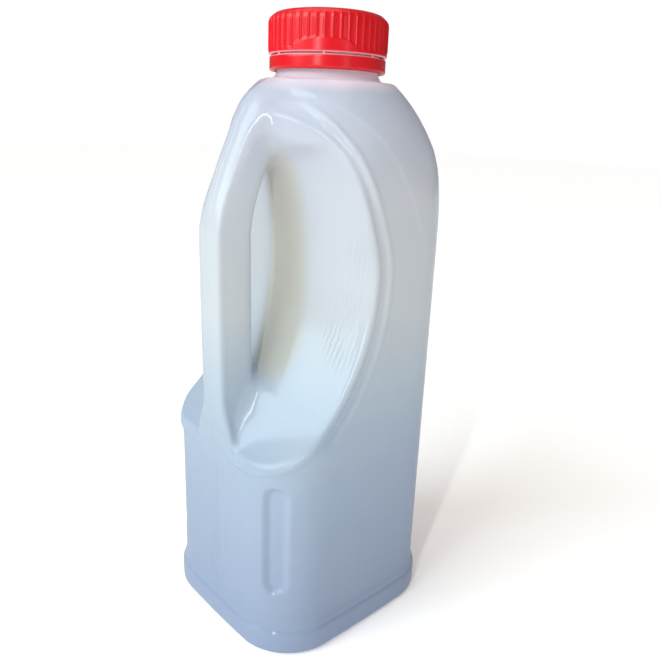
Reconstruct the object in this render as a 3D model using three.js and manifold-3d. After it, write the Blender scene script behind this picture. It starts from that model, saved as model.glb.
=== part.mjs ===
// A one-litre drink bottle, blow-moulded in one piece with a see-through handle, and its ribbed
// screw cap. Millimetres, +Z up. The handle is at -X and the front at +X. The two mould halves
// meet on the plane Y = 0. The sizes below are taken from the middle of the foot, and the meshes
// are then placed with the origin on Z = 0 under the middle of the whole.

import * as THREE from "three";
import { mergeVertices } from "three/addons/utils/BufferGeometryUtils.js";
import Module from "manifold-3d";

// Body
const BODY_HALF_LENGTH = 40.7;
const BODY_HALF_WIDTH = 38.6;
const BODY_CORNER_RADIUS = 19.5;
const SIDE_CROWN = 1.2;

// Foot
const FOOT_FLARE = 1.7;
const FOOT_BAND_TOP = 9.5;
const FOOT_SLOPE_TOP = 14;
const FOOT_GROOVE_Z = 10.5;
const FOOT_GROOVE_HALF_WIDTH = 0.9;
const FOOT_GROOVE_DEPTH = 0.5;
const BOTTOM_EDGE_RADIUS = 3;
const BASE_DISH_DEPTH = 1.5;
const BASE_DISH_INSET = 12;
const BASE_DISH_RAMP = 10;

// Neck and shoulder, round about the neck's axis
const NECK_X = 7.1;
const NECK_RADIUS = 18;
const NECK_FILLET = 2.5;
const SHOULDER_TOP = 203.6;
const DOME_CENTRE_Z = 140;
const DOME_RADIUS = 48.6;
const DOME_HEIGHT = 73.3;
const DOME_BLEND = 5;
const DOME_LOW_Z = 85;
const DOME_CLEARANCE = 14;

// Handle, a bar that follows the bottle's back
const HANDLE_BACK_X = -45;
const HANDLE_DEPTH = 15.8;
const HANDLE_HALF_WIDTH = 6;
const HANDLE_CORNER_RADIUS = 3.8;
const HANDLE_ROOT_Z = 77;
const HANDLE_ROOT_SINK = 3;
const HANDLE_ROOT_INSET = 1;
const HANDLE_ROOT_SPREAD = 5;
const HANDLE_ROOT_RISE = 18;
const HANDLE_TOP_SPREAD = 1.5;
const HANDLE_TOP_LOW_Z = 160;
const HANDLE_TOP_HIGH_Z = 192;
const HANDLE_BEND_Z = 141;
const HANDLE_BEND_RADIUS = 51.3;
const HANDLE_BEND_HEIGHT = 71;
const HANDLE_BLEND = 4;

// Hand recess on each side: its rim, and the line where its panel is nearest the middle
const RIM_FRONT_X = -2;
const RIM_MIDDLE_Z = 140;
const RIM_LOWER_RADIUS = 72;
const RIM_UPPER_SLOPE = 0.43;
const RIM_UPPER_EASE = 4;
const RIM_TOP_Z = 190.8;
const RIM_TOP_CORNER = 8;
const RIM_BLEND = 1.5;
const ROOT_FRONT_X = -14.2;
const ROOT_MIDDLE_Z = 145;
const ROOT_RADIUS = 97;
const ROOT_HALF_WIDTH = 12;
const PANEL_LEAST_RUN = 4;
const PANEL_LEAST_RISE = 3;

// Finger hole through the bottle
const HOLE_LOW_Z = 100;
const HOLE_HIGH_Z = 177;
const HOLE_INSET = 0.5;
const HOLE_CORNER = 4;
const HOLE_DRAFT = 0.22;
const HOLE_BLEND = 3;

// Channel outside the rim, and the shallow crescent outside the channel
const CHANNEL_FRONT_X = 5;
const CHANNEL_LOWER_RADIUS = 80;
const CHANNEL_UPPER_SLOPE = 0.49;
const CHANNEL_UPPER_EASE = 5.5;
const CHANNEL_LOW_Z = 79;
const CHANNEL_HIGH_Z = 198;
const CHANNEL_END_RUN = 9;
const CHANNEL_DEPTH = 1.1;
const CHANNEL_EDGE_WIDTH = 1.4;
const CRESCENT_DEPTH = 0.9;
const CRESCENT_MIDDLE_Z = 132;
const CRESCENT_FRONT_X = 27.5;
const CRESCENT_FADE_SPAN = 5;
const CRESCENT_LOWER = { reach: 46, height: 55, power: 2.4 };
const CRESCENT_UPPER = { reach: 52.5, height: 72, power: 1.4 };
const RELIEF_START_Y = 6;
const RELIEF_FULL_Y = 14;

// Flutes: one on each back corner, and one down the middle of the back
const CORNER_FLUTE_ANGLE = THREE.MathUtils.degToRad(36);
const CORNER_FLUTE = { halfWidth: 5.3, lowZ: 25, highZ: 70, depth: 2 };
const BACK_FLUTE = { halfWidth: 5, lowZ: 14, highZ: 68, depth: 0.6 };
const FLUTE_FLAT_SHARE = 0.45;

// Cap
const CAP_RADIUS = 20.6;
const CAP_LOW_Z = 206.9;
const CAP_TOP_Z = 225.7;
const CAP_WALL = 1.5;
const CAP_EDGE_RADIUS = 3.4;
const CAP_EDGE_STEPS = 4;
const CAP_LIP_CHAMFER = 0.3;
const FIT_GAP = 0.35;
const FUSE_DEPTH = 0.15;

// Tamper band under the cap, its slit and bridges, and the plain ring above the slit
const BAND_HEIGHT = 4.7;
const SLIT_HEIGHT = 0.5;
const SLIT_DEPTH = 0.7;
const BRIDGE_COUNT = 7;
const BRIDGE_WIDTH = 1.1;
const RING_HEIGHT = 1.2;
const RING_PROUD = 0.3;
const RING_CHAMFER = 0.4;

// Grip ribs, which start higher over each arch
const RIB_COUNT = 48;
const RIB_PROUD = 0.5;
const RIB_SINK = 0.4;
const RIB_WIDTH = 0.9;
const RIB_TOP_DROP = 4;
const RIB_POINT = 1.6;
const ARCH_COUNT = 3;
const ARCH_HALF_ANGLE = THREE.MathUtils.degToRad(31);
const ARCH_RISE = 3.4;
const ARCH_MIDDLE = THREE.MathUtils.degToRad(-135);

// Middle of the whole length, from the handle's back to the front of the foot
const MIDDLE_X = (HANDLE_BACK_X + BODY_HALF_LENGTH + SIDE_CROWN + FOOT_FLARE) / 2;

// Mesh fineness
const CELL = 4.3;
const CELL_AT_BASE = 3.2;
const CELL_ON_WALLS = 9;
const NECK_SEGMENTS = 60;

const { clamp, euclideanModulo, smoothstep } = THREE.MathUtils;

function smoothMax(a, b, blend) {
  const share = Math.max(blend - Math.abs(a - b), 0) / blend;
  return Math.max(a, b) + (share * share * blend) / 4;
}

function smoothMin(a, b, blend) {
  return -smoothMax(-a, -b, blend);
}

// Two surfaces that meet in a round edge of the given radius.
function roundedMax(a, b, radius) {
  const outA = Math.max(a + radius, 0);
  const outB = Math.max(b + radius, 0);
  return Math.min(Math.max(a, b), -radius) + Math.hypot(outA, outB);
}

// Distance to a rectangle with round corners, centred at the origin.
function roundedRectangle(x, y, halfX, halfY, radius) {
  const outX = Math.abs(x) - halfX + radius;
  const outY = Math.abs(y) - halfY + radius;
  const inside = Math.min(Math.max(outX, outY), 0);
  return inside + Math.hypot(Math.max(outX, 0), Math.max(outY, 0)) - radius;
}

// How far a circle of this radius has fallen back at the given distance from its front.
function circleDrop(offset, radius) {
  return radius - Math.sqrt(Math.max(radius * radius - offset * offset, 0));
}

// The same for a curve that eases into a straight slope.
function slopeDrop(offset, slope, ease) {
  return Math.hypot(slope * offset, ease) - ease;
}

function rimX(z) {
  const offset = z - RIM_MIDDLE_Z;
  if (offset < 0) return RIM_FRONT_X - circleDrop(offset, RIM_LOWER_RADIUS);
  return RIM_FRONT_X - slopeDrop(offset, RIM_UPPER_SLOPE, RIM_UPPER_EASE);
}

function rootX(z) {
  return ROOT_FRONT_X - circleDrop(z - ROOT_MIDDLE_Z, ROOT_RADIUS);
}

function channelX(z) {
  const offset = z - RIM_MIDDLE_Z;
  if (offset < 0) return CHANNEL_FRONT_X - circleDrop(offset, CHANNEL_LOWER_RADIUS);
  return CHANNEL_FRONT_X - slopeDrop(offset, CHANNEL_UPPER_SLOPE, CHANNEL_UPPER_EASE);
}

function crescentX(z) {
  const { reach, height, power } = z < CRESCENT_MIDDLE_Z ? CRESCENT_LOWER : CRESCENT_UPPER;
  const share = clamp(Math.abs(z - CRESCENT_MIDDLE_Z) / height, 0, 1);
  return CRESCENT_FRONT_X - reach * (1 - (1 - share ** power) ** (1 / power));
}

// How deep the crescent and the channel are pressed into the side at this place.
function sideRelief(x, y, z) {
  const channel = channelX(z);
  const crescent = crescentX(z);
  const span = Math.max(crescent - channel, 1);
  const aboveLowEnd = smoothstep(z, CHANNEL_LOW_Z, CHANNEL_LOW_Z + CHANNEL_END_RUN);
  const belowHighEnd = 1 - smoothstep(z, CHANNEL_HIGH_Z - CHANNEL_END_RUN, CHANNEL_HIGH_Z);
  const fade = clamp(span / CRESCENT_FADE_SPAN, 0, 1) * aboveLowEnd;
  const tilt = CRESCENT_DEPTH * clamp((crescent - x) / span, 0, 1) * fade;
  const behindEdge = 1 - smoothstep(x, channel - CHANNEL_EDGE_WIDTH, channel);
  const step = CHANNEL_DEPTH * behindEdge * aboveLowEnd * belowHighEnd;
  return (tilt + step) * smoothstep(y, RELIEF_START_Y, RELIEF_FULL_Y);
}

// A flute with round ends: how deep it is at this distance from its middle line.
function fluteDepth(across, z, { halfWidth, lowZ, highZ, depth }) {
  const along = Math.max(lowZ + halfWidth - z, z - highZ + halfWidth, 0);
  const reach = Math.hypot(across, along) / halfWidth;
  return depth * (1 - smoothstep(reach, FLUTE_FLAT_SHARE, 1));
}

function footOutset(z) {
  const band = FOOT_FLARE * (1 - smoothstep(z, FOOT_BAND_TOP, FOOT_SLOPE_TOP));
  const fromGroove = (z - FOOT_GROOVE_Z) / FOOT_GROOVE_HALF_WIDTH;
  return band - FOOT_GROOVE_DEPTH * Math.exp(-fromGroove * fromGroove);
}

// How deep the flutes are pressed into the back and its corners.
function backRelief(x, y, z) {
  const pastCornerX = -x - (BODY_HALF_LENGTH - BODY_CORNER_RADIUS);
  const pastCornerY = y - (BODY_HALF_WIDTH - BODY_CORNER_RADIUS);
  if (pastCornerX <= 0) return 0;
  const middle = fluteDepth(y, z, BACK_FLUTE);
  if (pastCornerY <= 0) return middle;
  const fromFlute = Math.atan2(pastCornerY, pastCornerX) - CORNER_FLUTE_ANGLE;
  return middle + fluteDepth(fromFlute * BODY_CORNER_RADIUS, z, CORNER_FLUTE);
}

// Distance to the upright wall of the body, whose faces are slightly crowned.
function wall(x, y, z) {
  const halfX = BODY_HALF_LENGTH + SIDE_CROWN * Math.max(1 - (y / BODY_HALF_WIDTH) ** 2, 0);
  const halfY = BODY_HALF_WIDTH + SIDE_CROWN * Math.max(1 - (x / BODY_HALF_LENGTH) ** 2, 0);
  return roundedRectangle(x, y, halfX, halfY, BODY_CORNER_RADIUS) - footOutset(z);
}

// The shoulder, an ellipsoid about the neck's axis, cut flat under the neck.
function dome(x, y, z) {
  const rise = Math.max(z - DOME_CENTRE_Z, 0) / DOME_HEIGHT;
  const across = Math.hypot(x - NECK_X, y) / DOME_RADIUS;
  const reach = Math.hypot(rise, across);
  const steepness = Math.hypot(rise / DOME_HEIGHT, across / DOME_RADIUS) / Math.max(reach, 1e-6);
  const clearOfBody = DOME_CLEARANCE * (1 - smoothstep(z, DOME_LOW_Z, DOME_CENTRE_Z));
  return Math.max((reach - 1) / Math.max(steepness, 1e-6) - clearOfBody, z - SHOULDER_TOP);
}

// The base: a flat ring to stand on round a shallow dish.
function base(x, y, z) {
  const edge = roundedRectangle(x, y, BODY_HALF_LENGTH, BODY_HALF_WIDTH, BODY_CORNER_RADIUS);
  return BASE_DISH_DEPTH * smoothstep(-edge - BASE_DISH_INSET, 0, BASE_DISH_RAMP) - z;
}

// Half the bottle's width where the rim of the hand recess crosses this height.
function widthAtRim(z) {
  const wallWidth = BODY_HALF_WIDTH - CHANNEL_DEPTH - CRESCENT_DEPTH;
  if (z <= DOME_CENTRE_Z) return wallWidth;
  const rise = Math.min((z - DOME_CENTRE_Z) / DOME_HEIGHT, 1);
  const reach = DOME_RADIUS * Math.sqrt(1 - rise * rise);
  const domeWidth = Math.sqrt(Math.max(reach * reach - (rimX(z) - NECK_X) ** 2, 0));
  return clamp(domeWidth, ROOT_HALF_WIDTH + PANEL_LEAST_RISE, wallWidth);
}

// The hand recess: its slanted panel, from the rim in towards the root line, and its ceiling.
function panel(x, y, z) {
  const run = Math.max(rimX(z) - rootX(z), PANEL_LEAST_RUN);
  const inward = rimX(z) - x;
  const width = inward > 0 ? widthAtRim(z) : BODY_HALF_WIDTH - CHANNEL_DEPTH - CRESCENT_DEPTH;
  const slope = (width - ROOT_HALF_WIDTH) / run;
  const side = (y - widthAtRim(z) + slope * inward) / Math.hypot(1, slope);
  return smoothMin(side, RIM_TOP_Z - z, RIM_TOP_CORNER);
}

function fingerHole(x, y, z) {
  const body = x - rootX(z) + HOLE_INSET;
  const ends = Math.max(HOLE_LOW_Z - z, z - HOLE_HIGH_Z);
  return smoothMax(body, ends, HOLE_CORNER) - HOLE_DRAFT * y;
}

function handleBackX(z) {
  if (z < HANDLE_BEND_Z) {
    const towardsRoot = (HANDLE_BEND_Z - z) / (HANDLE_BEND_Z - HANDLE_ROOT_Z);
    return HANDLE_BACK_X + HANDLE_ROOT_INSET * towardsRoot * towardsRoot;
  }
  const pastBend = Math.min((z - HANDLE_BEND_Z) / HANDLE_BEND_HEIGHT, 1);
  return HANDLE_BACK_X + HANDLE_BEND_RADIUS * (1 - Math.sqrt(1 - pastBend * pastBend));
}

function handle(x, y, z) {
  const middle = handleBackX(z) + HANDLE_DEPTH / 2;
  const low = HANDLE_ROOT_SPREAD * (1 - smoothstep(z, HANDLE_ROOT_Z, HANDLE_ROOT_Z + HANDLE_ROOT_RISE));
  const high = HANDLE_TOP_SPREAD * smoothstep(z, HANDLE_TOP_LOW_Z, HANDLE_TOP_HIGH_Z);
  const halfWidth = HANDLE_HALF_WIDTH + low + high;
  const section = roundedRectangle(x - middle, y, HANDLE_DEPTH / 2, halfWidth, HANDLE_CORNER_RADIUS);
  return Math.max(section, HANDLE_ROOT_Z - HANDLE_ROOT_SINK - z, z - SHOULDER_TOP);
}

// Negative inside the bottle below its neck, positive outside.
function bottleField(x, signedY, z) {
  const y = Math.abs(signedY);
  const relief = sideRelief(x, y, z);
  const walls = wall(x, y, z) + backRelief(x, y, z) + relief;
  const shell = roundedMax(walls, base(x, y, z), BOTTOM_EDGE_RADIUS);
  const shouldered = smoothMax(shell, dome(x, y, z) + relief, DOME_BLEND);
  const recessed = smoothMax(shouldered, panel(x, y, z), RIM_BLEND);
  const opened = smoothMax(recessed, -fingerHole(x, y, z), HOLE_BLEND);
  return smoothMin(opened, handle(x, y, z), HANDLE_BLEND);
}

// Lines of the sampling grid over one or more [from, to, cell] stretches.
function gridLines(...stretches) {
  const lines = [];
  for (const [from, to, cell] of stretches) {
    const count = Math.max(1, Math.round((to - from) / cell));
    for (let i = lines.length ? 1 : 0; i <= count; i++) lines.push(from + ((to - from) * i) / count);
  }
  return lines;
}

// A closed mesh of the surface where the field is zero, one vertex to each grid cell it crosses.
function surfaceOf(field, xs, ys, zs) {
  const [nx, ny, nz] = [xs.length, ys.length, zs.length];
  const nodeIndex = (i, j, k) => (k * ny + j) * nx + i;
  const values = new Float64Array(nx * ny * nz);
  for (let k = 0; k < nz; k++)
    for (let j = 0; j < ny; j++)
      for (let i = 0; i < nx; i++) values[nodeIndex(i, j, k)] = field(xs[i], ys[j], zs[k]);

  const corners = [0, 1, 2, 3, 4, 5, 6, 7].map((n) => [n & 1, (n >> 1) & 1, n >> 2]);
  const positions = [];
  const vertexOfCell = new Int32Array(nx * ny * nz).fill(-1);
  for (let k = 0; k < nz - 1; k++)
    for (let j = 0; j < ny - 1; j++)
      for (let i = 0; i < nx - 1; i++) {
        const cell = corners.map(([a, b, c]) => ({
          place: [xs[i + a], ys[j + b], zs[k + c]],
          value: values[nodeIndex(i + a, j + b, k + c)],
        }));
        if (cell.every(({ value }) => value < 0) || cell.every(({ value }) => value >= 0)) continue;
        vertexOfCell[nodeIndex(i, j, k)] = positions.length / 3;
        positions.push(...settleOnSurface(field, crossingMean(cell)));
      }

  const triangles = [];
  const steps = [
    [1, 0, 0],
    [0, 1, 0],
    [0, 0, 1],
  ];
  for (let k = 0; k < nz - 1; k++)
    for (let j = 0; j < ny - 1; j++)
      for (let i = 0; i < nx - 1; i++)
        for (let axis = 0; axis < 3; axis++) {
          const [di, dj, dk] = steps[axis];
          const [ui, uj, uk] = steps[(axis + 1) % 3];
          const [vi, vj, vk] = steps[(axis + 2) % 3];
          if (i < ui + vi || j < uj + vj || k < uk + vk) continue;
          const inside = values[nodeIndex(i, j, k)] < 0;
          if (inside === values[nodeIndex(i + di, j + dj, k + dk)] < 0) continue;
          const quad = [
            vertexOfCell[nodeIndex(i, j, k)],
            vertexOfCell[nodeIndex(i - ui, j - uj, k - uk)],
            vertexOfCell[nodeIndex(i - ui - vi, j - uj - vj, k - uk - vk)],
            vertexOfCell[nodeIndex(i - vi, j - vj, k - vk)],
          ];
          if (!inside) quad.reverse();
          addQuad(triangles, positions, quad);
        }
  return { positions, triangles };
}

// The mean of the points where the surface crosses the edges of a grid cell.
function crossingMean(cell) {
  const sum = [0, 0, 0];
  let count = 0;
  for (let a = 0; a < cell.length; a++)
    for (const bit of [1, 2, 4]) {
      const from = cell[a];
      const to = cell[a | bit];
      if (a & bit || from.value < 0 === to.value < 0) continue;
      const share = from.value / (from.value - to.value);
      for (let n = 0; n < 3; n++) sum[n] += from.place[n] + (to.place[n] - from.place[n]) * share;
      count++;
    }
  return sum.map((value) => value / count);
}

// Moves a point onto the surface along the field's slope, in a few capped steps.
function settleOnSurface(field, start) {
  const reach = 0.05;
  const mostMove = 1.5;
  const leastSteepness = 0.05;
  const floorSnap = 0.1;
  let point = start;
  for (let round = 0; round < 4; round++) {
    const slope = [0, 1, 2].map((n) => {
      const ahead = point.map((value, m) => (m === n ? value + reach : value));
      const behind = point.map((value, m) => (m === n ? value - reach : value));
      return (field(...ahead) - field(...behind)) / (2 * reach);
    });
    const steepness = Math.max(Math.hypot(...slope) ** 2, leastSteepness);
    const move = clamp(field(...point), -mostMove, mostMove) / steepness;
    point = point.map((value, n) => value - slope[n] * move);
  }
  const moved = Math.hypot(...point.map((value, n) => value - start[n]));
  const [x, y, z] = moved < CELL ? point : start;
  return [x, y, Math.abs(z) < floorSnap ? 0 : z];
}

// Two triangles, split along the shorter diagonal.
function addQuad(triangles, positions, [a, b, c, d]) {
  const gap = (m, n) => Math.hypot(...[0, 1, 2].map((q) => positions[3 * m + q] - positions[3 * n + q]));
  if (gap(a, c) <= gap(b, d)) triangles.push(a, b, c, a, c, d);
  else triangles.push(a, b, d, b, c, d);
}

const wasm = await Module();
wasm.setup();

function solidFromMesh({ positions, triangles }) {
  return new wasm.Manifold(
    new wasm.Mesh({
      numProp: 3,
      vertProperties: new Float32Array(positions),
      triVerts: new Uint32Array(triangles),
    }),
  );
}

function solidFromGeometry(geometry) {
  const bare = geometry.index ? geometry.toNonIndexed() : geometry.clone();
  bare.deleteAttribute("normal");
  bare.deleteAttribute("uv");
  const merged = mergeVertices(bare, 1e-4);
  return solidFromMesh({ positions: merged.attributes.position.array, triangles: merged.index.array });
}

function geometryFromSolid(solid) {
  const { vertProperties, triVerts, numProp } = solid.getMesh();
  const positions = new Float32Array((vertProperties.length / numProp) * 3);
  for (let i = 0; i < positions.length / 3; i++)
    positions.set(vertProperties.subarray(i * numProp, i * numProp + 3), i * 3);
  const geometry = new THREE.BufferGeometry();
  geometry.setAttribute("position", new THREE.BufferAttribute(positions, 3));
  geometry.setIndex(new THREE.BufferAttribute(new Uint32Array(triVerts), 1));
  geometry.computeVertexNormals();
  return geometry;
}

// A solid turned from a profile of [radius, height] pairs about the neck's axis.
function turned(profile) {
  const points = profile.map(([radius, height]) => new THREE.Vector2(radius, height));
  const geometry = new THREE.LatheGeometry(points, NECK_SEGMENTS);
  geometry.rotateX(Math.PI / 2);
  geometry.translate(NECK_X, 0, 0);
  return solidFromGeometry(geometry);
}

// [radius, height] pairs along an arc of a turned profile, angles in degrees from +radius.
function arc(centreRadius, centreHeight, radius, fromAngle, toAngle, steps) {
  const points = [];
  for (let step = 0; step <= steps; step++) {
    const angle = THREE.MathUtils.degToRad(fromAngle + ((toAngle - fromAngle) * step) / steps);
    points.push([centreRadius + radius * Math.cos(angle), centreHeight + radius * Math.sin(angle)]);
  }
  return points;
}

function makeBottle() {
  const margin = 1.5 * CELL;
  const reachX = -HANDLE_BACK_X + margin;
  const reachY = BODY_HALF_WIDTH + SIDE_CROWN + FOOT_FLARE + margin;
  const xs = gridLines([-reachX, reachX, CELL]);
  const ys = gridLines([-reachY, reachY, CELL]);
  const zs = gridLines(
    [-CELL_AT_BASE / 2, FOOT_SLOPE_TOP, CELL_AT_BASE],
    [FOOT_SLOPE_TOP, BACK_FLUTE.highZ, CELL_ON_WALLS],
    [BACK_FLUTE.highZ, SHOULDER_TOP + margin, CELL],
  );
  const body = solidFromMesh(surfaceOf(bottleField, xs, ys, zs));

  const neckLow = SHOULDER_TOP - CELL;
  const neckTop = CAP_TOP_Z - CAP_WALL - FIT_GAP;
  const neck = turned([
    [0, neckLow],
    [NECK_RADIUS + NECK_FILLET, neckLow],
    ...arc(NECK_RADIUS + NECK_FILLET, SHOULDER_TOP + NECK_FILLET, NECK_FILLET, 265, 180, 3),
    [NECK_RADIUS, neckTop],
    [0, neckTop],
  ]);
  return geometryFromSolid(body.add(neck));
}

// How high the ribs start at this angle: over each arch they start higher.
function ribFoot(angle) {
  const turn = (2 * Math.PI) / ARCH_COUNT;
  const fromArch = Math.abs(euclideanModulo(angle - ARCH_MIDDLE + turn / 2, turn) - turn / 2);
  const rise = ARCH_RISE * Math.sqrt(Math.max(1 - (fromArch / ARCH_HALF_ANGLE) ** 2, 0));
  return CAP_LOW_Z + BAND_HEIGHT + SLIT_HEIGHT + RING_HEIGHT + rise;
}

// One upright rib with a pointed upper end, lying on the cap's wall.
function makeRib(angle) {
  const low = ribFoot(angle);
  const high = CAP_TOP_Z - RIB_TOP_DROP;
  const outline = new THREE.Shape([
    new THREE.Vector2(-RIB_WIDTH / 2, low),
    new THREE.Vector2(RIB_WIDTH / 2, low),
    new THREE.Vector2(RIB_WIDTH / 2, high - RIB_POINT),
    new THREE.Vector2(0, high),
    new THREE.Vector2(-RIB_WIDTH / 2, high - RIB_POINT),
  ]);
  const rib = new THREE.ExtrudeGeometry(outline, { depth: RIB_SINK + RIB_PROUD, bevelEnabled: false });
  rib.rotateX(Math.PI / 2);
  rib.rotateZ(Math.PI);
  rib.translate(0, CAP_RADIUS - RIB_SINK, 0);
  rib.rotateZ(angle - Math.PI / 2);
  rib.translate(NECK_X, 0, 0);
  return solidFromGeometry(rib);
}

// A little bridge that holds the tamper band to the cap across the slit.
function makeBridge(angle) {
  const depth = SLIT_DEPTH + 2 * FUSE_DEPTH;
  const bridge = new THREE.BoxGeometry(depth, BRIDGE_WIDTH, SLIT_HEIGHT + 2 * FUSE_DEPTH);
  const radius = CAP_RADIUS - FUSE_DEPTH - depth / 2;
  bridge.translate(radius, 0, CAP_LOW_Z + BAND_HEIGHT + SLIT_HEIGHT / 2);
  bridge.rotateZ(angle);
  bridge.translate(NECK_X, 0, 0);
  return solidFromGeometry(bridge);
}

// The cap's wall, band, slit, ring and domed edge, turned as one cup.
function makeCup() {
  const slitLow = CAP_LOW_Z + BAND_HEIGHT;
  const slitHigh = slitLow + SLIT_HEIGHT;
  const ringTop = slitHigh + RING_HEIGHT;
  const inner = CAP_RADIUS - CAP_WALL;
  const ceiling = CAP_TOP_Z - CAP_WALL;
  const edgeRadius = CAP_RADIUS - CAP_EDGE_RADIUS;
  const edgeHeight = CAP_TOP_Z - CAP_EDGE_RADIUS;
  return turned([
    [inner, CAP_LOW_Z],
    [CAP_RADIUS - CAP_LIP_CHAMFER, CAP_LOW_Z],
    [CAP_RADIUS, CAP_LOW_Z + CAP_LIP_CHAMFER],
    [CAP_RADIUS, slitLow],
    [CAP_RADIUS - SLIT_DEPTH, slitLow],
    [CAP_RADIUS - SLIT_DEPTH, slitHigh],
    [CAP_RADIUS + RING_PROUD, slitHigh],
    [CAP_RADIUS + RING_PROUD, ringTop - RING_CHAMFER],
    [CAP_RADIUS, ringTop],
    ...arc(edgeRadius, edgeHeight, CAP_EDGE_RADIUS, 0, 90, CAP_EDGE_STEPS),
    [0, CAP_TOP_Z],
    [0, ceiling],
    [inner, ceiling],
    [inner, CAP_LOW_Z],
  ]);
}

function makeCap() {
  const leastRib = 1;
  const straightTop = CAP_TOP_Z - RIB_TOP_DROP - RIB_POINT;
  let cap = makeCup();
  for (let n = 0; n < RIB_COUNT; n++) {
    const angle = (2 * Math.PI * n) / RIB_COUNT;
    if (straightTop - ribFoot(angle) > leastRib) cap = cap.add(makeRib(angle));
  }
  for (let n = 0; n < BRIDGE_COUNT; n++) {
    cap = cap.add(makeBridge(ARCH_MIDDLE + (2 * Math.PI * n) / BRIDGE_COUNT));
  }
  return geometryFromSolid(cap);
}

function namedMesh(name, geometry, material) {
  const mesh = new THREE.Mesh(geometry, material);
  mesh.name = name;
  mesh.position.x = -MIDDLE_X;
  return mesh;
}

const milkyPlastic = new THREE.MeshStandardMaterial({ color: 0xd5e0e8, roughness: 0.35, metalness: 0 });
const redPlastic = new THREE.MeshStandardMaterial({ color: 0xed1c24, roughness: 0.35, metalness: 0 });

const drinkBottle = new THREE.Group();
drinkBottle.add(namedMesh("bottle", makeBottle(), milkyPlastic));
drinkBottle.add(namedMesh("cap", makeCap(), redPlastic));

export default drinkBottle;
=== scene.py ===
"""A milky one-litre drink bottle with a see-through handle and a ribbed red screw cap.

The bottle's surface is the zero level of a field, negative inside, that joins the body, foot,
shoulder, hand recess, finger hole, handle and neck. It is meshed on a fine grid. The cap is a
wall wound round the neck's axis, row by row.

Sizes are in millimetres from the middle of the foot, with the handle at -X and the near side at
-Y. MM turns them into metres, and SHIFT_X is worked out from the frame.
"""

import math

import bpy
import numpy as np
from mathutils import Matrix, Vector


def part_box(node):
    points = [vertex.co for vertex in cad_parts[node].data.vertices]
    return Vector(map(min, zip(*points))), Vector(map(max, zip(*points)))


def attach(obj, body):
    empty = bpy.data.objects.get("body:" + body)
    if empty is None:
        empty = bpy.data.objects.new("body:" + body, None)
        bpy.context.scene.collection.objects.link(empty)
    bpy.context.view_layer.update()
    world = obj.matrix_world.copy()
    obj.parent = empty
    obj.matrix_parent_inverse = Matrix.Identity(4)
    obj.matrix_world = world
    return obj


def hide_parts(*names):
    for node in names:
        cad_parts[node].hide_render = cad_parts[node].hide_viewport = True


MM = 0.001
TINY = 1e-6

# Body
BODY_HALF_LENGTH = 40.7
BODY_HALF_WIDTH = 38.6
BODY_CORNER_RADIUS = 19.5
SIDE_CROWN = 1.2

# Foot
FOOT_FLARE = 1.7
FOOT_BAND_TOP = 9.5
FOOT_SLOPE_TOP = 14
FOOT_GROOVE_Z = 10.5
FOOT_GROOVE_HALF_WIDTH = 0.9
FOOT_GROOVE_DEPTH = 0.8
BOTTOM_EDGE_RADIUS = 3
BASE_DISH_DEPTH = 1.5
BASE_DISH_INSET = 12
BASE_DISH_RAMP = 10

# Neck and shoulder
NECK_X = 7.1
NECK_RADIUS = 18
NECK_BLEND = 4.5
NECK_TOP = 223.8
NECK_SINK = 8
SHOULDER_TOP = 203.6
DOME_CENTRE_Z = 140
DOME_RADIUS = 48.6
DOME_HEIGHT = 73.3
DOME_BLEND = 5
DOME_LOW_Z = 85
DOME_CLEARANCE = 14

# Handle: a bar with a bead on each back edge, rounder towards its crown
HANDLE_BACK_X = -44.2
HANDLE_DEPTH = 15.8
HANDLE_HALF_WIDTH = 6
HANDLE_CORNER_RADIUS = 3.8
HANDLE_ROOT_Z = 77
HANDLE_ROOT_SINK = 3
HANDLE_ROOT_INSET = 1
HANDLE_ROOT_SPREAD = 5
HANDLE_ROOT_RISE = 18
HANDLE_TOP_SPREAD = 1.5
HANDLE_TOP_LOW_Z = 160
HANDLE_TOP_HIGH_Z = 192
HANDLE_ROOT_FADE = 2.2
HANDLE_ROOT_FADE_HIGH_Z = 88
HANDLE_TOP_Z = 201.8
HANDLE_END_EASE = 8
HANDLE_CROWN_ROUNDING = 3.5
HANDLE_CROWN_LOW_Z = 155
HANDLE_CROWN_HIGH_Z = 205
HANDLE_BEND_Z = 151
HANDLE_BEND_SLOPE = 0.51
HANDLE_BEND_EASE = 8.5
HANDLE_BLEND = 4
HANDLE_BEAD_RADIUS = 1.3
HANDLE_BEAD_SINK = 5
HANDLE_BEAD_INSET_X = 1.9
HANDLE_BEAD_INSET_Y = 1.0
HANDLE_BEAD_BLEND = 1.2

# Rounded pocket where the handle's root meets the recess
POCKET_BLEND = 5
POCKET_BACK_X = -41
POCKET_FRONT_X = -33
POCKET_LOW_Z = 84
POCKET_HIGH_Z = 104

# Hand recess: its rim, and the line where its panel is nearest the middle
RIM_FRONT_X = -2
RIM_MIDDLE_Z = 140
RIM_LOWER_RADIUS = 72
RIM_UPPER_SLOPE = 0.43
RIM_UPPER_EASE = 4
RIM_TOP_Z = 191.8
RIM_TOP_CORNER = 12
RIM_BLEND = 1.5
RIM_TOP_BLEND = 5
RIM_TOP_BLEND_LOW_Z = 165
RIM_TOP_BLEND_HIGH_Z = 188
RIM_BEAD = {"offset": 1.7, "half_width": 1.4, "height": 1.0}
ROOT_FRONT_X = -14.2
ROOT_MIDDLE_Z = 145
ROOT_RADIUS = 97
ROOT_HALF_WIDTH = 12
PANEL_LEAST_RUN = 4
PANEL_LEAST_RISE = 3

# Finger hole
HOLE_LOW_Z = 100
HOLE_HIGH_Z = 177
HOLE_INSET = 0.5
HOLE_CORNER = 4
HOLE_DRAFT = 0.22
HOLE_BLEND = 3

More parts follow.
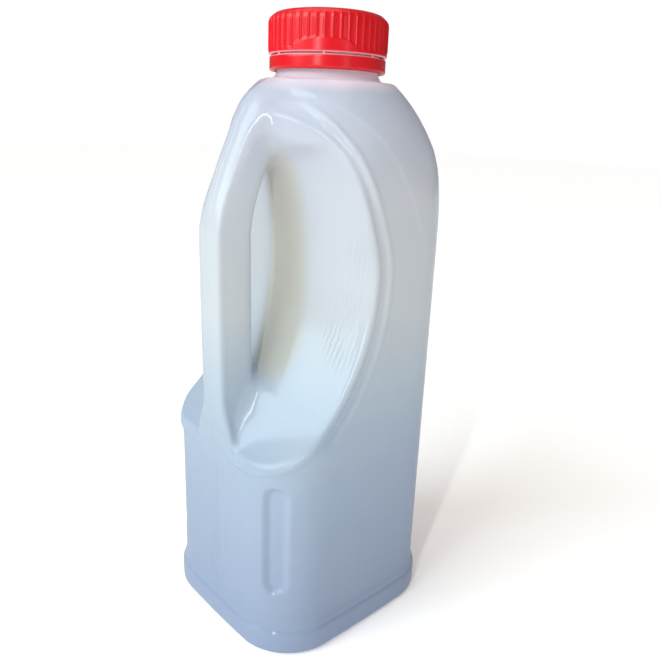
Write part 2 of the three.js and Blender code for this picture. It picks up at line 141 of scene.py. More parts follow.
# Channel outside the rim, and the shallow crescent outside the channel
CHANNEL_FRONT_X = 5
CHANNEL_LOWER_RADIUS = 80
CHANNEL_UPPER_SLOPE = 0.49
CHANNEL_UPPER_EASE = 5.5
CHANNEL_LOW_Z = 79
CHANNEL_HIGH_Z = 198
CHANNEL_END_RUN = 9
CHANNEL_DEPTH = 1.1
CHANNEL_EDGE_WIDTH = 1.4
CHANNEL_BEAD = {"offset": 0.5, "half_width": 0.9, "height": 0.6}
CRESCENT_DEPTH = 0.9
CRESCENT_LIP = 0.2
CRESCENT_LIP_WIDTH = 1.2
CRESCENT_MIDDLE_Z = 132
CRESCENT_FRONT_X = 27.5
CRESCENT_FADE_SPAN = 5
CRESCENT_LOWER = {"reach": 46, "height": 55, "power": 2.4}
CRESCENT_UPPER = {"reach": 52.5, "height": 72, "power": 1.4}
RELIEF_START_Y = 6
RELIEF_FULL_Y = 14
WALL_WIDTH_AT_RIM = BODY_HALF_WIDTH - CHANNEL_DEPTH - CRESCENT_DEPTH

# Flutes: one on each back corner, and one down the middle of the back
CORNER_FLUTE_ANGLE = math.radians(36)
CORNER_FLUTE = {"half_width": 5.3, "low_z": 25, "high_z": 70, "depth": 2}
BACK_FLUTE = {"half_width": 5, "low_z": 14, "high_z": 68, "depth": 0.6}
FLUTE_FLAT_SHARE = 0.45

# Mould seam on the plane Y = 0
SEAM_HEIGHT = 0.16
SEAM_HALF_WIDTH = 0.28
SEAM_START_RUN = 3

# Cap
CAP_WALL = 1.5
CAP_EDGE_RADIUS = 3.4
CAP_LIP_CHAMFER = 0.3
BAND_HEIGHT = 4.7
SLIT_HEIGHT = 0.5
SLIT_CHAMFER = 0.3
BRIDGE_COUNT = 7
BRIDGE_WIDTH = 0.9
BRIDGE_SINK = 0.2
RING_HEIGHT = 1.2
RING_PROUD = 0.3
RIB_COUNT = 48
RIB_PROUD = 0.5
RIB_SHARPNESS = 4
RIB_TOP_DROP = 0.6
RIB_TOP_RUN = 2.2
RIB_FOOT_RUN = 0.5
TOP_DISH = 0.25
TOP_DISH_SHARE = 0.9
TOP_RINGS = (1, 0.97, 0.9, 0.75, 0.5, 0.25)
ARCH_COUNT = 3
ARCH_HALF_ANGLE = math.radians(31)
ARCH_RISE = 3.4
ARCH_MIDDLE = math.radians(-135)

# Milky plastic: its colours by height as a share of the stretch, and how far clouds shift them. The
# colours also hold painted shade, darker and bluer towards the foot, and painted light, bright and pink
# on the neck under the cap, where the cap shades it.
MILKY_LOW_Z = 6
MILKY_HIGH_Z = 231.7
MILKY_AND_PAINTED_LIGHT_COLOURS = (
    (0.00, (0.37, 0.44, 0.58)),
    (0.10, (0.42, 0.49, 0.62)),
    (0.30, (0.49, 0.57, 0.68)),
    (0.42, (0.58, 0.66, 0.73)),
    (0.55, (0.71, 0.74, 0.75)),
    (0.75, (0.71, 0.73, 0.76)),
    (0.885, (0.62, 0.65, 0.74)),
    (0.905, (1.00, 0.82, 0.88)),
)
CLOUD_RISE = 12
SHARE_THROUGH = 0.5

# Painted warm shade round the finger hole, in an ellipsoid that fades between two shares of its reach
THROAT_SHADE_COLOUR = (0.66, 0.65, 0.57)
THROAT_MIDDLE = (-19, -6, 137)
THROAT_REACH = (11, 15, 56)
THROAT_FULL = 0.6
THROAT_GONE = 1.0

# Cutter's marks on the panel: each pair says where they are full and where they are gone
TOOL_MARK_PITCH = 0.75
TOOL_MARK_WOBBLE = 5
TOOL_MARKS_INSIDE_RIM = (-1.5, 0)
TOOL_MARKS_NEAR_RIM = (-3, -8)
TOOL_MARKS_OFF_MIDDLE = (26, 18)
TOOL_MARKS_UPPER_Z = (148, 160)
TOOL_MARKS_LOWER_Z = (118, 100)

# Red plastic, with a painted pale highlight along the slit's edges
RED_COLOURS = ((0.3, (0.58, 0.004, 0.010)), (0.7, (0.66, 0.008, 0.016)))
SLIT_HIGHLIGHT_COLOUR = (0.90, 0.32, 0.34)
SLIT_HIGHLIGHT_REACH = (0.3, 0.8)

# Floor, with half its length in metres
FLOOR_HALF = 4.0
FLOOR_COLOURS = ((0.3, (0.97, 0.93, 0.91)), (0.7, (0.98, 0.94, 0.92)))
FLOOR_GLOW = 0.18

# A mix node's factor and colour sockets, by number
MIX_COLOUR_INPUTS = (0, 6, 7)
MIX_COLOUR_OUTPUT = 2

# Mesh fineness
CELL = 1.0
SEAM_CELL = 0.2
SETTLE_REACH = 0.02
SETTLE_ROUNDS = 4
LEAST_STEEPNESS = 0.05
CAP_ROW = 0.22
CAP_STEPS_PER_RIB = 12
CAP_EDGE_STEPS = 13

# Camera, found by fitting the cap, neck and foot to the photo
CAMERA_PLACE = (-160.4, -189.1, 190.05)
CAMERA_AZIMUTH = 0.743
CAMERA_PITCH = 0.304
CAMERA_ROLL = -0.039
FOCAL_PIXELS = 660.35
IMAGE_PIXELS = 660
SENSOR_WIDTH = 36
CLIP_START = 0.01

# Lights, in metres and degrees: two soft suns, and two strips that draw lines along the beads
WINDOW = {
    "azimuth": -79,
    "elevation": 30,
    "spread": 45,
    "strength": 2.85,
    "colour": (0.74, 0.91, 1.0),
}
CEILING = {
    "azimuth": -60,
    "elevation": 78,
    "spread": 60,
    "strength": 1.08,
    "colour": (1.0, 0.94, 0.88),
}
STRIP_LEFT = {
    "place": (-0.9, -0.5, 0.6),
    "size": (0.04, 0.9),
    "power": 5.2,
    "colour": (0.95, 0.98, 1.0),
}
STRIP_FRONT = {
    "place": (-0.1, -1.1, 0.45),
    "size": (0.025, 0.8),
    "power": 0.8,
    "colour": (1.0, 0.98, 0.96),
}
STRIP_TARGET = (0, 0, 0.12)
SKY_COLOUR = (1.0, 0.92, 0.85)
SKY_STRENGTH = 0.2
SEEN_SKY_STRENGTH = 1.0

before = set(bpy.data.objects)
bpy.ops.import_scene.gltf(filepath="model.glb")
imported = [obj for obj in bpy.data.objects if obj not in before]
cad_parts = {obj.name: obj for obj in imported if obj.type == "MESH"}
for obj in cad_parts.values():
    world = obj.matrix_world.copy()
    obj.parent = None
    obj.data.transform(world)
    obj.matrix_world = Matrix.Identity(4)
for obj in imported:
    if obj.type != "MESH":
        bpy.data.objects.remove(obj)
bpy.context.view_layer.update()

bottle_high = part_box("bottle")[1] / MM
cap_low, cap_high = (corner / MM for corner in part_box("cap"))
SHIFT_X = bottle_high.x - (BODY_HALF_LENGTH + SIDE_CROWN + FOOT_FLARE)
CAP_LOW_Z = cap_low.z
CAP_TOP_Z = cap_high.z
CAP_RADIUS = (cap_high.x - cap_low.x) / 2 - RIB_PROUD


def smoothstep(value, low, high):
    """0 at low and before it, 1 at high and past it, with a soft curve between."""
    share = np.clip((value - low) / (high - low), 0, 1)
    return share * share * (3 - 2 * share)


def smooth_max(a, b, blend):
    """The larger of two values, rounded off where they are within blend of each other."""
    share = np.maximum(blend - np.abs(a - b), 0) / blend
    return np.maximum(a, b) + share * share * blend / 4


def smooth_min(a, b, blend):
    return -smooth_max(-a, -b, blend)


def rounded_max(a, b, radius):
    """Two surfaces that meet in a round edge of the given radius."""
    outside = np.hypot(np.maximum(a + radius, 0), np.maximum(b + radius, 0))
    return np.minimum(np.maximum(a, b), -radius) + outside


def rounded_rectangle(x, y, half_x, half_y, radius):
    """Distance to a rectangle with round corners, centred at the origin."""
    out_x = np.abs(x) - half_x + radius
    out_y = np.abs(y) - half_y + radius
    inside = np.minimum(np.maximum(out_x, out_y), 0)
    return inside + np.hypot(np.maximum(out_x, 0), np.maximum(out_y, 0)) - radius


def circle_drop(offset, radius):
    """How far a circle has fallen back at the given distance from its front."""
    return radius - np.sqrt(np.maximum(radius * radius - offset * offset, 0))


def slope_drop(offset, slope, ease):
    """The same for a curve that eases into a straight slope."""
    return np.hypot(slope * offset, ease) - ease


def rim_x(z):
    offset = z - RIM_MIDDLE_Z
    lower = circle_drop(offset, RIM_LOWER_RADIUS)
    upper = slope_drop(offset, RIM_UPPER_SLOPE, RIM_UPPER_EASE)
    return RIM_FRONT_X - np.where(offset < 0, lower, upper)


def root_x(z):
    return ROOT_FRONT_X - circle_drop(z - ROOT_MIDDLE_Z, ROOT_RADIUS)


def channel_x(z):
    offset = z - RIM_MIDDLE_Z
    lower = circle_drop(offset, CHANNEL_LOWER_RADIUS)
    upper = slope_drop(offset, CHANNEL_UPPER_SLOPE, CHANNEL_UPPER_EASE)
    return CHANNEL_FRONT_X - np.where(offset < 0, lower, upper)


def crescent_half(z, reach, height, power):
    share = np.clip(np.abs(z - CRESCENT_MIDDLE_Z) / height, 0, 1)
    return CRESCENT_FRONT_X - reach * (1 - (1 - share**power) ** (1 / power))


def crescent_x(z):
    lower = crescent_half(z, **CRESCENT_LOWER)
    return np.where(z < CRESCENT_MIDDLE_Z, lower, crescent_half(z, **CRESCENT_UPPER))


def outward(x, z, front_x, lower_radius, upper_slope, upper_ease):
    """Distance outward from a line that is an arc below the rim's middle and a slope above it."""
    offset = z - RIM_MIDDLE_Z
    lower = np.hypot(x - front_x + lower_radius, offset) - lower_radius
    run = np.hypot(upper_slope * offset, upper_ease)
    tilt = upper_slope * upper_slope * offset / run
    upper = (x - front_x + run - upper_ease) / np.hypot(1, tilt)
    return np.where(offset < 0, lower, upper)


def bead(distance, offset, half_width, height):
    """Height of a rounded bead that runs beside a line."""
    return height * np.exp(-(((distance - offset) / half_width) ** 2))


def side_relief(x, y, z):
    """How deep the side is pressed in by the crescent and the channel, less the beads on it."""
    crescent = crescent_x(z)
    from_channel = outward(
        x, z, CHANNEL_FRONT_X, CHANNEL_LOWER_RADIUS, CHANNEL_UPPER_SLOPE, CHANNEL_UPPER_EASE
    )
    from_rim = outward(x, z, RIM_FRONT_X, RIM_LOWER_RADIUS, RIM_UPPER_SLOPE, RIM_UPPER_EASE)
    from_rim = smooth_max(from_rim, z - RIM_TOP_Z, RIM_TOP_CORNER)
    span = np.maximum(crescent - channel_x(z), 1)
    above_low_end = smoothstep(z, CHANNEL_LOW_Z, CHANNEL_LOW_Z + CHANNEL_END_RUN)
    below_high_end = 1 - smoothstep(z, CHANNEL_HIGH_Z - CHANNEL_END_RUN, CHANNEL_HIGH_Z)
    fade = np.clip(span / CRESCENT_FADE_SPAN, 0, 1) * above_low_end
    tilt = CRESCENT_DEPTH * np.clip((crescent - x) / span, 0, 1) * fade
    lip = CRESCENT_LIP * (1 - smoothstep(x, crescent - CRESCENT_LIP_WIDTH, crescent)) * fade
    behind_edge = 1 - smoothstep(from_channel, -CHANNEL_EDGE_WIDTH, 0)
    step = (CHANNEL_DEPTH * behind_edge - bead(from_channel, **CHANNEL_BEAD)) * above_low_end
    relief = tilt + lip + step * below_high_end - bead(from_rim, **RIM_BEAD)
    return relief * smoothstep(y, RELIEF_START_Y, RELIEF_FULL_Y)


def flute_depth(across, z, half_width, low_z, high_z, depth):
    """A flute with round ends: how deep it is at this distance from its middle line."""
    along = np.maximum(np.maximum(low_z + half_width - z, z - high_z + half_width), 0)
    reach = np.hypot(across, along) / half_width
    return depth * (1 - smoothstep(reach, FLUTE_FLAT_SHARE, 1))


def foot_outset(z):
    """How far the foot's band stands out from the wall, less the groove round it."""
    band = FOOT_FLARE * (1 - smoothstep(z, FOOT_BAND_TOP, FOOT_SLOPE_TOP))
    from_groove = (z - FOOT_GROOVE_Z) / FOOT_GROOVE_HALF_WIDTH
    return band - FOOT_GROOVE_DEPTH * np.exp(-from_groove * from_groove)


def back_relief(x, y, z):
    """How deep the flutes are pressed into the back and its corners."""
    past_corner_x = -x - (BODY_HALF_LENGTH - BODY_CORNER_RADIUS)
    past_corner_y = y - (BODY_HALF_WIDTH - BODY_CORNER_RADIUS)
    middle = flute_depth(y, z, **BACK_FLUTE)
    from_flute = np.arctan2(past_corner_y, past_corner_x) - CORNER_FLUTE_ANGLE
    corner = flute_depth(from_flute * BODY_CORNER_RADIUS, z, **CORNER_FLUTE)
    return np.where(past_corner_x > 0, middle + np.where(past_corner_y > 0, corner, 0), 0)


def wall(x, y, z):
    """Distance to the upright wall of the body, whose faces are slightly crowned."""
    half_x = BODY_HALF_LENGTH + SIDE_CROWN * np.maximum(1 - (y / BODY_HALF_WIDTH) ** 2, 0)
    half_y = BODY_HALF_WIDTH + SIDE_CROWN * np.maximum(1 - (x / BODY_HALF_LENGTH) ** 2, 0)
    return rounded_rectangle(x, y, half_x, half_y, BODY_CORNER_RADIUS) - foot_outset(z)


def dome(x, y, z):
    """The shoulder, an ellipsoid about the neck's axis, cut flat under the neck."""
    rise = np.maximum(z - DOME_CENTRE_Z, 0) / DOME_HEIGHT
    across = np.hypot(x - NECK_X, y) / DOME_RADIUS
    reach = np.maximum(np.hypot(rise, across), TINY)
    steepness = np.maximum(np.hypot(rise / DOME_HEIGHT, across / DOME_RADIUS) / reach, TINY)
    clear_of_body = DOME_CLEARANCE * (1 - smoothstep(z, DOME_LOW_Z, DOME_CENTRE_Z))
    return np.maximum((reach - 1) / steepness - clear_of_body, z - SHOULDER_TOP)


def base(x, y, z):
    """The base: a flat ring to stand on round a shallow dish."""
    edge = rounded_rectangle(x, y, BODY_HALF_LENGTH, BODY_HALF_WIDTH, BODY_CORNER_RADIUS)
    return BASE_DISH_DEPTH * smoothstep(-edge - BASE_DISH_INSET, 0, BASE_DISH_RAMP) - z


def width_at_rim(z):
    """Half the bottle's width where the rim of the hand recess crosses this height."""
    rise = np.clip((z - DOME_CENTRE_Z) / DOME_HEIGHT, 0, 1)
    reach = DOME_RADIUS * np.sqrt(1 - rise * rise)
    dome_width = np.sqrt(np.maximum(reach * reach - (rim_x(z) - NECK_X) ** 2, 0))
    narrowed = np.clip(dome_width, ROOT_HALF_WIDTH + PANEL_LEAST_RISE, WALL_WIDTH_AT_RIM)
    return np.where(z > DOME_CENTRE_Z, narrowed, WALL_WIDTH_AT_RIM)


def panel(x, y, z):
    """The hand recess: its slanted panel, from the rim in towards the root line, and its ceiling."""
    run = np.maximum(rim_x(z) - root_x(z), PANEL_LEAST_RUN)
    inward = rim_x(z) - x
    rim_width = width_at_rim(z)
    width = np.where(inward > 0, rim_width, WALL_WIDTH_AT_RIM)
    slope = (width - ROOT_HALF_WIDTH) / run
    side = (y - rim_width + slope * inward) / np.hypot(1, slope)
    return smooth_min(side, RIM_TOP_Z - z, RIM_TOP_CORNER)


def finger_hole(x, y, z):
    body = x - root_x(z) + HOLE_INSET
    ends = np.maximum(HOLE_LOW_Z - z, z - HOLE_HIGH_Z)
    return smooth_max(body, ends, HOLE_CORNER) - HOLE_DRAFT * y


def handle_back_x(z):
    towards_root = np.maximum(HANDLE_BEND_Z - z, 0) / (HANDLE_BEND_Z - HANDLE_ROOT_Z)
    bend = slope_drop(np.maximum(z - HANDLE_BEND_Z, 0), HANDLE_BEND_SLOPE, HANDLE_BEND_EASE)
    return HANDLE_BACK_X + HANDLE_ROOT_INSET * towards_root**2 + bend


def handle(x, y, z):
    back = handle_back_x(z)
    low = HANDLE_ROOT_SPREAD * (1 - smoothstep(z, HANDLE_ROOT_Z, HANDLE_ROOT_Z + HANDLE_ROOT_RISE))
    high = HANDLE_TOP_SPREAD * smoothstep(z, HANDLE_TOP_LOW_Z, HANDLE_TOP_HIGH_Z)
    half_width = HANDLE_HALF_WIDTH + low + high
    from_middle = x - back - HANDLE_DEPTH / 2
    crown = smoothstep(z, HANDLE_CROWN_LOW_Z, HANDLE_CROWN_HIGH_Z)
    corner_radius = HANDLE_CORNER_RADIUS + HANDLE_CROWN_ROUNDING * crown
    section = rounded_rectangle(from_middle, y, HANDLE_DEPTH / 2, half_width, corner_radius)
    root_low = HANDLE_ROOT_Z - HANDLE_ROOT_SINK
    section = section + HANDLE_ROOT_FADE * (1 - smoothstep(z, root_low, HANDLE_ROOT_FADE_HIGH_Z))
    from_edge = np.hypot(x - back - HANDLE_BEAD_INSET_X, y - half_width + HANDLE_BEAD_INSET_Y)
    bead_radius = HANDLE_BEAD_RADIUS - HANDLE_BEAD_SINK * crown
    beaded = smooth_min(section, from_edge - bead_radius, HANDLE_BEAD_BLEND)
    ends = np.maximum(root_low - z, z - HANDLE_TOP_Z)
    return smooth_max(beaded, ends, HANDLE_END_EASE)


def neck(x, y, z):
    ends = np.maximum(SHOULDER_TOP - NECK_SINK - z, z - NECK_TOP)
    return np.maximum(np.hypot(x - NECK_X, y) - NECK_RADIUS, ends)


def bottle_field(x, signed_y, z):
    """Negative inside the bottle, positive outside."""
    y = np.abs(signed_y)
    relief = side_relief(x, y, z)
    walls = wall(x, y, z) + back_relief(x, y, z) + relief
    shell = rounded_max(walls, base(x, y, z), BOTTOM_EDGE_RADIUS)
    shouldered = smooth_max(shell, dome(x, y, z) + relief, DOME_BLEND)
    top = smoothstep(z, RIM_TOP_BLEND_LOW_Z, RIM_TOP_BLEND_HIGH_Z)
    recessed = smooth_max(shouldered, panel(x, y, z), RIM_BLEND + (RIM_TOP_BLEND - RIM_BLEND) * top)
    opened = smooth_max(recessed, -finger_hole(x, y, z), HOLE_BLEND)
    pocket = smoothstep(x, POCKET_BACK_X, POCKET_FRONT_X)
    pocket = pocket * (1 - smoothstep(z, POCKET_LOW_Z, POCKET_HIGH_Z))
    handled = smooth_min(opened, handle(x, y, z), HANDLE_BLEND + POCKET_BLEND * pocket)
    necked = smooth_min(handled, neck(x, y, z), NECK_BLEND)
    seam = SEAM_HEIGHT * smoothstep(z, 0, SEAM_START_RUN)
    return necked - seam * np.exp(-((y / SEAM_HALF_WIDTH) ** 2))


def grid_lines(*stretches):
    """Lines of the sampling grid over one or more (from, to, cell) stretches."""
    lines = [stretches[0][0]]
    for low, high, cell in stretches:
        count = max(1, round((high - low) / cell))
        lines += [low + (high - low) * (step + 1) / count for step in range(count)]
    return np.array(lines)


def settle(field, points, cell):
    """Moves points onto the field's surface along its slope, none by more than a cell."""
    start = points.copy()
    for _ in range(SETTLE_ROUNDS):
        slope = np.empty_like(points)
        for axis in range(3):
            offset = np.zeros(3)
            offset[axis] = SETTLE_REACH
            ahead, behind = field(*(points + offset).T), field(*(points - offset).T)
            slope[:, axis] = (ahead - behind) / (2 * SETTLE_REACH)
        steepness = np.maximum((slope**2).sum(1), LEAST_STEEPNESS)
        move = np.clip(field(*points.T), -cell / 2, cell / 2) / steepness
        points = points - slope * move[:, None]
    strayed = np.linalg.norm(points - start, axis=1) > cell
    points[strayed] = start[strayed]
    return points


def surface_of(field, xs, ys, zs, cell):
    """Points and four-cornered faces of the field's surface, one point to each cell it crosses."""
    lines = (xs, ys, zs)
    values = field(*np.meshgrid(xs, ys, zs, indexing="ij"))
    inside = values < 0
    cells = tuple(length - 1 for length in values.shape)
    corners = [(a, b, c) for a in (0, 1) for b in (0, 1) for c in (0, 1)]
    inside_corners = sum(
        inside[a : a + cells[0], b : b + cells[1], c : c + cells[2]].astype(np.int8)
        for a, b, c in corners
    )
    active = (inside_corners > 0) & (inside_corners < len(corners))
    index = np.argwhere(active)
    point_of = np.full(cells, -1, np.int64)
    point_of[active] = np.arange(len(index))

    total = np.zeros((len(index), 3))
    crossings = np.zeros(len(index))
    for corner in corners:
        for axis in range(3):
            if corner[axis]:
                continue
            near = index + corner
            far = near + np.eye(3, dtype=int)[axis]
            value_near = values[tuple(near.T)]
            value_far = values[tuple(far.T)]
            crosses = (value_near < 0) != (value_far < 0)
            share = np.where(crosses, value_near / np.where(crosses, value_near - value_far, 1), 0)
            place_near = np.stack([lines[n][near[:, n]] for n in range(3)], 1)
            place_far = np.stack([lines[n][far[:, n]] for n in range(3)], 1)
            place = place_near + (place_far - place_near) * share[:, None]
            total += np.where(crosses[:, None], place, 0)
            crossings += crosses
    points = settle(field, total / crossings[:, None], cell)

    faces = []
    for axis in range(3):
        step_u, step_v = (np.eye(3, dtype=int)[(axis + n) % 3] for n in (1, 2))
        ahead = np.roll(inside, -1, axis)
        crossing = np.argwhere(inside != ahead)
        rooms = np.array(cells)
        usable = (crossing < rooms).all(1) & (crossing - step_u - step_v >= 0).all(1)
        at = crossing[usable]
        rounds = [at, at - step_u, at - step_u - step_v, at - step_v]
        quads = np.stack([point_of[tuple(corner.T)] for corner in rounds], 1)
        starts_inside = inside[tuple(at.T)]
        faces.append(np.where(starts_inside[:, None], quads, quads[:, ::-1]))
    return points, np.concatenate(faces)


def new_mesh_object(name, points, faces):
    """A smooth-shaded object from points in millimetres about the foot's middle."""
    mesh = bpy.data.meshes.new(name)
    places = (np.asarray(points) + np.array([SHIFT_X, 0, 0])) * MM
    mesh.from_pydata(places.tolist(), [], faces if isinstance(faces, list) else faces.tolist())
    mesh.polygons.foreach_set("use_smooth", np.ones(len(mesh.polygons), bool))
    mesh.update()
    piece = bpy.data.objects.new(name, mesh)
    bpy.context.scene.collection.objects.link(piece)
    return piece


def make_bottle():
    margin = 2 * CELL
    reach_x = -HANDLE_BACK_X + margin
    reach_y = BODY_HALF_WIDTH + SIDE_CROWN + FOOT_FLARE + margin
    seam_reach = 4 * SEAM_CELL
    xs = grid_lines((-reach_x, reach_x, CELL))
    ys = grid_lines(
        (-reach_y, -seam_reach, CELL),
        (-seam_reach, seam_reach, SEAM_CELL),
        (seam_reach, reach_y, CELL),
    )
    zs = grid_lines((-1.5 * CELL, NECK_TOP + margin, CELL))
    points, faces = surface_of(bottle_field, xs, ys, zs, CELL)
    return new_mesh_object("bottle_body", points, faces)


def rib_foot(angle):
    """How high the ribs start at this angle: over each arch they start higher."""
    turn = 2 * math.pi / ARCH_COUNT
    from_arch = np.abs((angle - ARCH_MIDDLE + turn / 2) % turn - turn / 2)
    rise = ARCH_RISE * np.sqrt(np.maximum(1 - (from_arch / ARCH_HALF_ANGLE) ** 2, 0))
    return CAP_LOW_Z + BAND_HEIGHT + SLIT_HEIGHT + RING_HEIGHT + rise


def cap_surface(angle, z):
    """How far the cap's outer wall stands from the axis at each angle and height."""
    slit_low = CAP_LOW_Z + BAND_HEIGHT
    slit_high = slit_low + SLIT_HEIGHT
    above_edge = np.maximum(z - (CAP_TOP_Z - CAP_EDGE_RADIUS), 0)
    radius = CAP_RADIUS - circle_drop(above_edge, CAP_EDGE_RADIUS)
    radius = radius - np.maximum(CAP_LOW_Z + CAP_LIP_CHAMFER - z, 0)
    from_slit = np.where(z > slit_low, z - slit_high, slit_low - z)
    radius = radius - np.maximum(SLIT_CHAMFER - from_slit, 0)

    foot = rib_foot(angle)
    if z > slit_low:
        radius = radius + RING_PROUD * (1 - smoothstep(z, foot - RIB_FOOT_RUN, foot + RIB_FOOT_RUN))
    pitch = 2 * math.pi / RIB_COUNT
    crest = np.abs(2 * (angle % pitch) / pitch - 1) ** RIB_SHARPNESS
    rib_top = CAP_TOP_Z - RIB_TOP_DROP
    ends = smoothstep(z, foot - RIB_FOOT_RUN, foot + RIB_FOOT_RUN)
    ends = ends * (1 - smoothstep(z, rib_top - RIB_TOP_RUN, rib_top))
    return radius + RIB_PROUD * crest * ends


def wound(rows, angle, closed):
    """Points and faces of a wall wound round the neck's axis through rows of (radius, height)."""
    steps = len(angle)
    points = [
        np.stack([NECK_X + radius * np.cos(angle), radius * np.sin(angle), np.full(steps, height)], 1)
        for radius, height in rows
    ]
    faces = []
    for row in range(len(rows) if closed else len(rows) - 1):
        low = row * steps
        high = (row + 1) % len(rows) * steps
        for step in range(steps):
            after = (step + 1) % steps
            faces.append((low + step, low + after, high + after, high + step))
    return np.concatenate(points), faces


def tamper_band(angle):
    """The closed ring under the slit."""
    inner = CAP_RADIUS - CAP_WALL
    slit_low = CAP_LOW_Z + BAND_HEIGHT
    chamfer_top = CAP_LOW_Z + CAP_LIP_CHAMFER
    chamfer_low = slit_low - SLIT_CHAMFER
    heights = grid_lines((CAP_LOW_Z, chamfer_top, CAP_ROW), (chamfer_top, chamfer_low, 4 * CAP_ROW))
    heights = np.append(heights, slit_low)
    rows = [(inner, slit_low), (inner, chamfer_top), (inner + CAP_LIP_CHAMFER / 2, CAP_LOW_Z)]
    rows += [(cap_surface(angle, z), z) for z in heights]
    return wound(rows, angle, closed=True)


def cap_shell(angle):
    """The cap above the slit: its wall, its round top edge and its slightly dished top."""
    inner = CAP_RADIUS - CAP_WALL
    ceiling = CAP_TOP_Z - CAP_WALL
    straight_top = CAP_TOP_Z - CAP_EDGE_RADIUS
    slit_high = CAP_LOW_Z + BAND_HEIGHT + SLIT_HEIGHT
    chamfer_high = slit_high + SLIT_CHAMFER
    heights = grid_lines((slit_high, chamfer_high, SLIT_CHAMFER), (chamfer_high, straight_top, CAP_ROW))
    edge_turns = np.linspace(0, math.pi / 2, CAP_EDGE_STEPS + 1)[1:-1]
    heights = np.concatenate([heights, straight_top + CAP_EDGE_RADIUS * np.sin(edge_turns)])
    rows = [(inner, ceiling), (inner, slit_high)]
    rows += [(cap_surface(angle, z), z) for z in heights]
    for share in TOP_RINGS:
        dip = TOP_DISH * smoothstep(share, 1, TOP_DISH_SHARE)
        rows.append(((CAP_RADIUS - CAP_EDGE_RADIUS) * share, CAP_TOP_Z - dip))
    points, faces = wound(rows, angle, closed=False)

    steps = len(angle)
    top_middle = len(points)
    under_middle = top_middle + 1
    last = (len(rows) - 1) * steps
    for step in range(steps):
        after = (step + 1) % steps
        faces.append((last + step, last + after, top_middle))
        faces.append((after, step, under_middle))
    middles = [[NECK_X, 0, CAP_TOP_Z - TOP_DISH], [NECK_X, 0, ceiling]]
    return np.concatenate([points, middles]), faces


def bridge(angle):
    """One of the small posts that join the band to the cap across the slit."""
    low = CAP_LOW_Z + BAND_HEIGHT - BRIDGE_SINK
    high = low + SLIT_HEIGHT + 2 * BRIDGE_SINK
    inner, outer = CAP_RADIUS - CAP_WALL + BRIDGE_SINK, CAP_RADIUS - BRIDGE_SINK
    half = BRIDGE_WIDTH / 2 / CAP_RADIUS
    points = [
        [NECK_X + radius * math.cos(angle + side), radius * math.sin(angle + side), height]
        for height in (low, high)
        for radius in (inner, outer)
        for side in (-half, half)
    ]
    faces = [(0, 1, 3, 2), (4, 6, 7, 5), (0, 4, 5, 1), (2, 3, 7, 6), (0, 2, 6, 4), (1, 5, 7, 3)]
    return np.array(points), faces


def make_cap():
    steps = RIB_COUNT * CAP_STEPS_PER_RIB
    angle = np.arange(steps) * 2 * math.pi / steps
    shapes = [tamper_band(angle), cap_shell(angle)]
    shapes += [bridge(ARCH_MIDDLE + turn * 2 * math.pi / BRIDGE_COUNT) for turn in range(BRIDGE_COUNT)]
    points, faces = [], []
    count = 0
    for shape_points, shape_faces in shapes:
        points.append(shape_points)
        faces += [tuple(corner + count for corner in face) for face in shape_faces]
        count += len(shape_points)
    return new_mesh_object("screw_cap", np.concatenate(points), faces)


def feed(tree, socket, value):
    """Links a socket to another node's output, or sets its value."""
    if isinstance(value, bpy.types.NodeSocket):
        tree.links.new(value, socket)
    else:
        socket.default_value = value


def new_material(name):
    """A node material with only its output, and a function that adds a node with its inputs set."""
    material = bpy.data.materials.new(name)
    material.use_nodes = True
    tree = material.node_tree
    tree.nodes.clear()

    def add(kind, **inputs):
        node = tree.nodes.new(kind)
        for key, value in inputs.items():
            feed(tree, node.inputs[key.replace("_", " ")], value)
        return node

    return material, tree, add


def finish_material(tree, shader):
    output = tree.nodes.new("ShaderNodeOutputMaterial")
    tree.links.new(shader, output.inputs["Surface"])


def colour_ramp(add, factor, stops):
    ramp = add("ShaderNodeValToRGB", Fac=factor)
    elements = ramp.color_ramp.elements
    while len(elements) < len(stops):
        elements.new(1)
    for element, (position, colour) in zip(elements, stops):
        element.position = position
        element.color = (*colour, 1)
    return ramp.outputs["Color"]


def operate(tree, kind, operation, *values):
    """The output of a math node with its inputs linked or set in order."""
    node = tree.nodes.new(kind)
    node.operation = operation
    for socket, value in zip(node.inputs, values):
        feed(tree, socket, value)
    return node.outputs["Value"] if operation == "LENGTH" else node.outputs[0]


def blend_colours(tree, factor, first, second):
    """The first colour where the factor is 0, and the second where it is 1."""
    node = tree.nodes.new("ShaderNodeMix")
    node.data_type = "RGBA"
    for number, value in zip(MIX_COLOUR_INPUTS, (factor, first, second)):
        feed(tree, node.inputs[number], value)
    return node.outputs[MIX_COLOUR_OUTPUT]


def mask_between(add, value, full, gone):
    """1 where the value is at full or past it, fading to 0 where it is at gone."""
    node = add("ShaderNodeMapRange", Value=value, From_Min=gone, From_Max=full)
    node.interpolation_type = "SMOOTHSTEP"
    return node.outputs["Result"]


